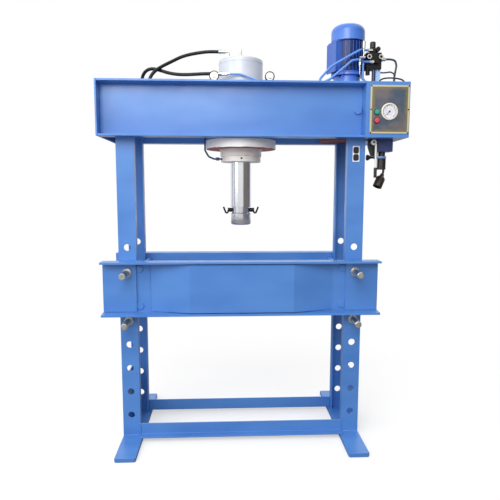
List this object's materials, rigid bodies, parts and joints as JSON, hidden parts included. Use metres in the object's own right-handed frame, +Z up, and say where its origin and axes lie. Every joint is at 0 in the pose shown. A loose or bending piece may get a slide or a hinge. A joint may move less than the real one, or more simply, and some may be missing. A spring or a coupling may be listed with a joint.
{
  "type": "hydraulic press",
  "caption": "Floor-standing workshop press: channel frame, pinned height-adjustable bed, travelling cylinder on rollers, chromed ram, electric power pack, control box.",
  "frame": {"origin": "on the floor, under the ram axis with the carriage at mid travel, halfway between front and back", "axes": "+Z up, +X towards the control box, front at -Y"},
  "size_m": [1.806, 0.936, 2.555],
  "materials": {
    "blue_paint": "semi-gloss sky-blue enamel",
    "pale_blue_paint": "semi-gloss pale blue enamel",
    "navy_paint": "semi-gloss dark blue enamel",
    "cream_paint": "semi-gloss off-white enamel",
    "red_primer": "matt red-brown primer",
    "chromed_rod": "hard chrome, ground",
    "machined_steel": "turned steel",
    "zinc_steel": "bright zinc plate",
    "yellow_zinc": "yellow passivated zinc",
    "cast_iron_piston": "machined cast iron",
    "black_oxide": "black finish",
    "gauge_black": "cream enamelled case",
    "dial_white": "matt white dial",
    "pointer_black": "matt black",
    "green_button": "moulded, glossy",
    "red_button": "moulded, glossy",
    "black_plastic": "moulded, matt",
    "hose_rubber": "smooth black rubber cover",
    "cable_sheath": "black cable sheath"
  },
  "bodies": {
    "frame": {"left_column": "blue_paint", "right_column": "blue_paint", "feet": "blue_paint", "base_rails": "blue_paint", "beam_front_channel": "blue_paint", "beam_back_channel": "blue_paint", "beam_end_plate": "blue_paint", "bed_front_channel": "blue_paint", "bed_back_channel": "blue_paint", "bed_stiffener_plates": "blue_paint", "bed_tie_bars": "blue_paint", "end_box": "blue_paint", "control_panel": "yellow_zinc", "fasteners": "zinc_steel", "oil_tank": "red_primer", "tank_lid": "blue_paint", "gauge_case": "gauge_black", "gauge_dial": "dial_white", "motor_body": "navy_paint", "motor_cowl": "navy_paint", "terminal_box": "navy_paint", "bell_housing": "navy_paint", "oil_pump": "cast_iron_piston", "valve_block": "black_oxide", "valve_fittings": "zinc_steel", "valve_post": "pale_blue_paint", "blue_pipes": "blue_paint", "gauge_pipes": "black_oxide", "motor_cable": "cable_sheath", "hose_upper": "hose_rubber", "hose_lower": "hose_rubber", "hand_valve": "navy_paint", "plug_lead": "cable_sheath", "hanging_plug": "black_plastic"},
    "carriage": {"cylinder_tube": "cream_paint", "cylinder_cap": "cream_paint", "cylinder_flange": "cream_paint", "rod_gland": "cream_paint", "carriage_plate": "blue_paint", "roller_axles": "zinc_steel", "cylinder_fittings": "zinc_steel", "gland_pipe": "navy_paint"},
    "left_roller_pair": {"rollers_left": "machined_steel"},
    "right_roller_pair": {"rollers_right": "machined_steel"},
    "ram": {"ram_rod": "chromed_rod", "piston": "cast_iron_piston", "ram_nose": "machined_steel"},
    "left_wing_screw": {"wing_screw_left": "black_oxide"},
    "right_wing_screw": {"wing_screw_right": "black_oxide"},
    "pin_upper_left": {"upper_pin_left": "zinc_steel"},
    "pin_upper_right": {"upper_pin_right": "zinc_steel"},
    "pin_lower_left": {"lower_pin_left": "zinc_steel"},
    "pin_lower_right": {"lower_pin_right": "zinc_steel"},
    "lever": {"valve_lever": "zinc_steel"},
    "lock": {"lock_knob": "black_plastic"},
    "relief": {"relief_knob": "black_plastic"},
    "start": {"start_button": "green_button"},
    "stop": {"stop_button": "red_button"},
    "pointer": {"gauge_pointer": "pointer_black"},
    "rotor": {"motor_rotor": "machined_steel"}
  },
  "joints": [
    {"name": "carriage_traverse", "type": "slide", "parent": "frame", "child": "carriage", "axis": [1, 0, 0], "range_m": [-0.25, 0.25], "deforming": ["hose_upper", "hose_lower"]},
    {"name": "left_rollers_turn", "type": "hinge", "parent": "carriage", "child": "left_roller_pair", "pos_m": [-0.16, 0, 2.2013], "axis": [0, 1, 0], "range_deg": [-515, 515]},
    {"name": "right_rollers_turn", "type": "hinge", "parent": "carriage", "child": "right_roller_pair", "pos_m": [0.16, 0, 2.2013], "axis": [0, 1, 0], "range_deg": [-515, 515]},
    {"name": "ram_slide", "type": "slide", "parent": "carriage", "child": "ram", "axis": [0, 0, -1], "range_m": [-0.27, 0.13]},
    {"name": "left_wing_screw_turn", "type": "hinge", "parent": "ram", "child": "left_wing_screw", "pos_m": [-0.09, 0, 1.427], "axis": [-1, 0, 0], "range_deg": [0, 360]},
    {"name": "right_wing_screw_turn", "type": "hinge", "parent": "ram", "child": "right_wing_screw", "pos_m": [0.09, 0, 1.427], "axis": [1, 0, 0], "range_deg": [0, 360]},
    {"name": "pin_upper_left_pull", "type": "slide", "parent": "frame", "child": "pin_upper_left", "axis": [0, -1, 0], "range_m": [0, 0.45]},
    {"name": "pin_upper_right_pull", "type": "slide", "parent": "frame", "child": "pin_upper_right", "axis": [0, -1, 0], "range_m": [0, 0.45]},
    {"name": "pin_lower_left_pull", "type": "slide", "parent": "frame", "child": "pin_lower_left", "axis": [0, -1, 0], "range_m": [0, 0.45]},
    {"name": "pin_lower_right_pull", "type": "slide", "parent": "frame", "child": "pin_lower_right", "axis": [0, -1, 0], "range_m": [0, 0.45]},
    {"name": "lever_swing", "type": "hinge", "parent": "frame", "child": "lever", "pos_m": [0.787, -0.194, 1.836], "axis": [0, 1, 0], "range_deg": [-15, 15], "stiffness_Nm_per_rad": 5},
    {"name": "lock_knob_turn", "type": "hinge", "parent": "frame", "child": "lock", "pos_m": [0.78, -0.13, 1.75], "axis": [1, 0, 0], "range_deg": [-360, 0]},
    {"name": "relief_knob_turn", "type": "hinge", "parent": "frame", "child": "relief", "pos_m": [0.803, -0.06, 2.42], "axis": [0, 0, 1], "range_deg": [-360, 360]},
    {"name": "start_button_press", "type": "slide", "parent": "frame", "child": "start", "axis": [0, 1, 0], "range_m": [0, 0.004], "stiffness_N_per_m": 500},
    {"name": "stop_button_press", "type": "slide", "parent": "frame", "child": "stop", "axis": [0, 1, 0], "range_m": [0, 0.004], "stiffness_N_per_m": 500},
    {"name": "gauge_pointer_turn", "type": "hinge", "parent": "frame", "child": "pointer", "pos_m": [0.8485, -0.28, 2.0025], "axis": [0, 1, 0], "range_deg": [0, 270], "stiffness_Nm_per_rad": 0.05},
    {"name": "motor_turn", "type": "hinge", "parent": "frame", "child": "rotor", "pos_m": [0.663, 0, 2.3], "axis": [0, 0, 1], "continuous": true}
  ],
  "couplings": [
    {"joint": "left_rollers_turn", "follows": "carriage_traverse", "rad_per_m": 35.714},
    {"joint": "right_rollers_turn", "follows": "carriage_traverse", "rad_per_m": 35.714}
  ]
}
